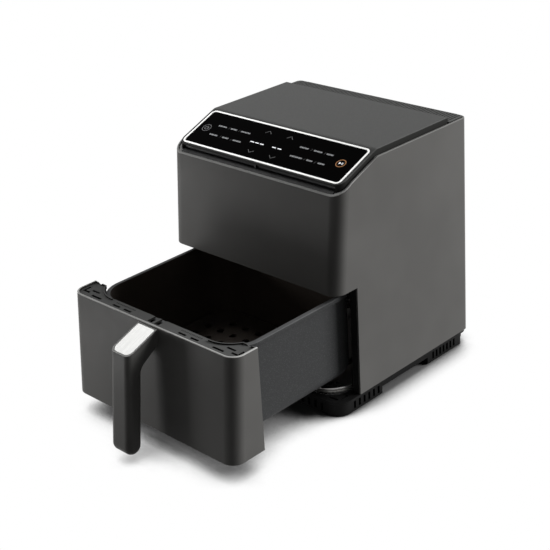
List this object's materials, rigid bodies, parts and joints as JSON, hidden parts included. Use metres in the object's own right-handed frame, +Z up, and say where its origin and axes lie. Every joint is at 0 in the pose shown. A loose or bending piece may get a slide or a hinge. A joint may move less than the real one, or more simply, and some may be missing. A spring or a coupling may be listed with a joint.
{
  "type": "drawer air fryer",
  "caption": "Countertop air fryer with a pull-out basket drawer, sloping touch panel, upper and lower heaters, fan and motor inside.",
  "frame": {"origin": "middle of the bounding box on the counter, with the drawer drawn out as it rests", "axes": "+Z up, the drawer and the control panel face -Y, +X to the right as seen from the front"},
  "size_m": [0.29, 0.5086, 0.3351],
  "materials": {
    "satin_grey": "satin",
    "lid_grey": "matte",
    "black_plastic": "matte",
    "gloss_black": "gloss",
    "panel_glass": "gloss",
    "bright_trim": "polished",
    "brushed_aluminium": "brushed",
    "nonstick": "speckled",
    "sheet_steel": "mill",
    "bright_dish": "polished",
    "heater_sheath": "oxidised",
    "fastener_steel": "plain",
    "motor_paint": "satin",
    "circuit_board": "gloss",
    "light_plastic": "matte",
    "soft_rubber": "matte"
  },
  "bodies": {
    "housing": {"outer_shell": "satin_grey", "rear_cover": "black_plastic", "cover_screws": "fastener_steel", "top_cover": "lid_grey", "front_band": "gloss_black", "panel_trim": "bright_trim", "touch_panel": "panel_glass", "light_guide": "light_plastic", "control_board": "circuit_board", "board_screws": "fastener_steel", "buzzer": "black_plastic", "rear_grille": "lid_grey", "base": "black_plastic", "foot_pads": "soft_rubber", "base_deck": "black_plastic", "base_screws": "fastener_steel", "front_frame": "black_plastic", "reed_switch": "light_plastic", "cord_gland": "soft_rubber", "terminal_block": "light_plastic", "power_board": "circuit_board", "chamber_liner": "sheet_steel", "left_rail": "black_plastic", "right_rail": "black_plastic", "lower_reflector": "bright_dish", "lower_heater": "heater_sheath", "heater_clips": "sheet_steel", "upper_dome": "sheet_steel", "upper_heater": "heater_sheath", "heater_guard": "fastener_steel", "motor_bracket": "sheet_steel", "motor": "motor_paint", "motor_screws": "fastener_steel", "temperature_probe": "fastener_steel", "thermal_fuse": "light_plastic", "exhaust_duct": "sheet_steel"},
    "spinner": {"motor_shaft": "fastener_steel", "hot_air_fan": "bright_dish", "cooling_fan": "light_plastic", "fan_nut": "fastener_steel"},
    "drawer": {"drawer_front": "satin_grey", "drawer_inner": "black_plastic", "drawer_cap": "lid_grey", "basket": "nonstick", "basket_screws": "fastener_steel", "handle": "satin_grey", "handle_inlay": "brushed_aluminium", "handle_screws": "fastener_steel", "magnet": "fastener_steel"},
    "crisper": {"crisper_plate": "nonstick", "plate_tabs": "soft_rubber"}
  },
  "joints": [
    {"name": "drawer_slide", "type": "slide", "parent": "housing", "child": "drawer", "axis": [0, -1, 0], "range_m": [-0.1732, 0.02]},
    {"name": "crisper_lift", "type": "slide", "parent": "drawer", "child": "crisper", "axis": [0, 0, 1], "range_m": [0, 0.075]},
    {"name": "fan_spin", "type": "hinge", "parent": "housing", "child": "spinner", "pos_m": [0, 0.12766, 0.24], "axis": [0, 0, 1], "continuous": true}
  ]
}
